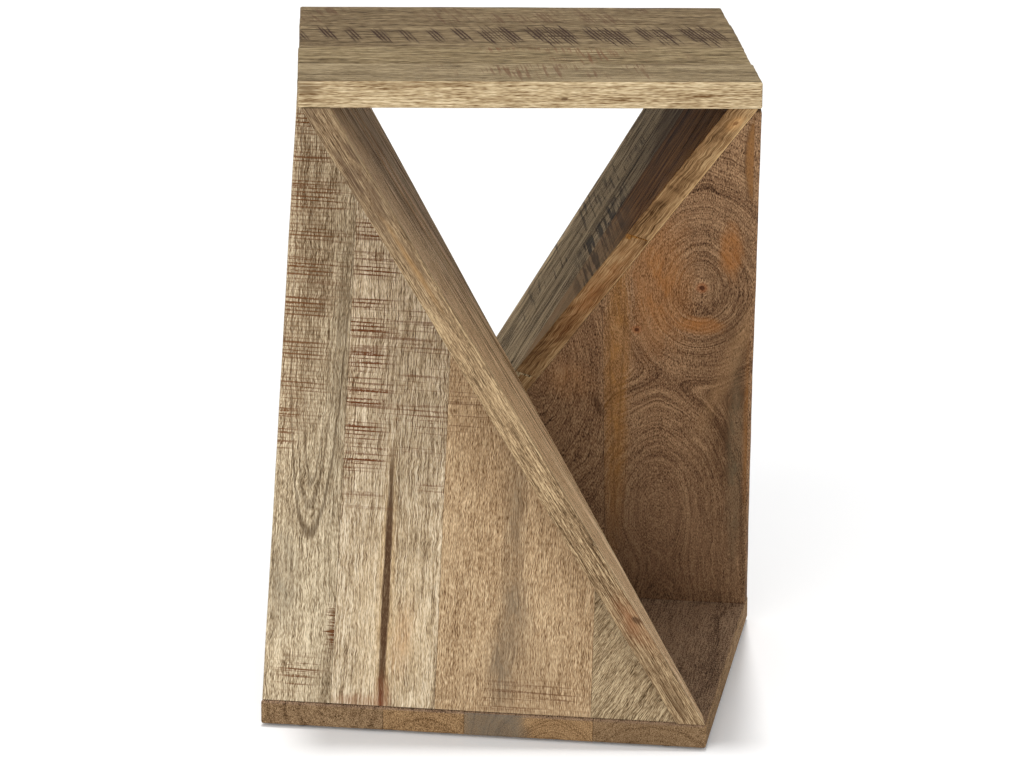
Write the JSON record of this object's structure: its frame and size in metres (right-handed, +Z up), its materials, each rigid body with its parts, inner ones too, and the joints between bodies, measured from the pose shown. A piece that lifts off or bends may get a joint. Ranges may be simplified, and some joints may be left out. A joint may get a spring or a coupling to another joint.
{
  "type": "accent table",
  "caption": "Square accent table of rough-sawn weathered wood boards: a top and a base turned against each other, joined by two V-shaped legs of leaning triangular panels.",
  "frame": {"origin": "on the floor under the middle of the table", "axes": "+Z up; +X to the right and +Y to the back along the edges of the top; the base is turned 10.6 degrees clockwise under it, seen from above"},
  "size_m": [0.473, 0.473, 0.602],
  "materials": {
    "top_wood": "rough-sawn, weathered, matt",
    "panel_wood": "rough-sawn, weathered, matt",
    "base_wood": "sanded, waxed, matt",
    "dowel_wood": "turned, unfinished",
    "glide_plastic": "moulded, matt"
  },
  "bodies": {
    "root": {"back_panel_base_dowels": "dowel_wood", "back_panel_board_1": "panel_wood", "back_panel_board_2": "panel_wood", "back_panel_board_3": "panel_wood", "back_panel_board_4": "panel_wood", "base_board_left": "base_wood", "base_board_left_middle": "base_wood", "base_board_right": "base_wood", "base_board_right_middle": "base_wood", "floor_glides": "glide_plastic", "front_panel_base_dowels": "dowel_wood", "front_panel_board_1": "panel_wood", "front_panel_board_2": "panel_wood", "front_panel_board_3": "panel_wood", "front_panel_board_4": "panel_wood", "left_leg_ridge_dowels": "dowel_wood", "left_panel_board_1": "panel_wood", "left_panel_board_2": "panel_wood", "left_panel_board_3": "panel_wood", "left_panel_board_4": "panel_wood", "left_panel_foot_dowel": "dowel_wood", "left_panel_top_dowels": "dowel_wood", "right_leg_ridge_dowels": "dowel_wood", "right_panel_board_1": "panel_wood", "right_panel_board_2": "panel_wood", "right_panel_board_3": "panel_wood", "right_panel_board_4": "panel_wood", "right_panel_foot_dowel": "dowel_wood", "right_panel_top_dowels": "dowel_wood", "top_board_back": "top_wood", "top_board_back_middle": "top_wood", "top_board_front": "top_wood", "top_board_front_middle": "top_wood"}
  },
  "joints": []
}
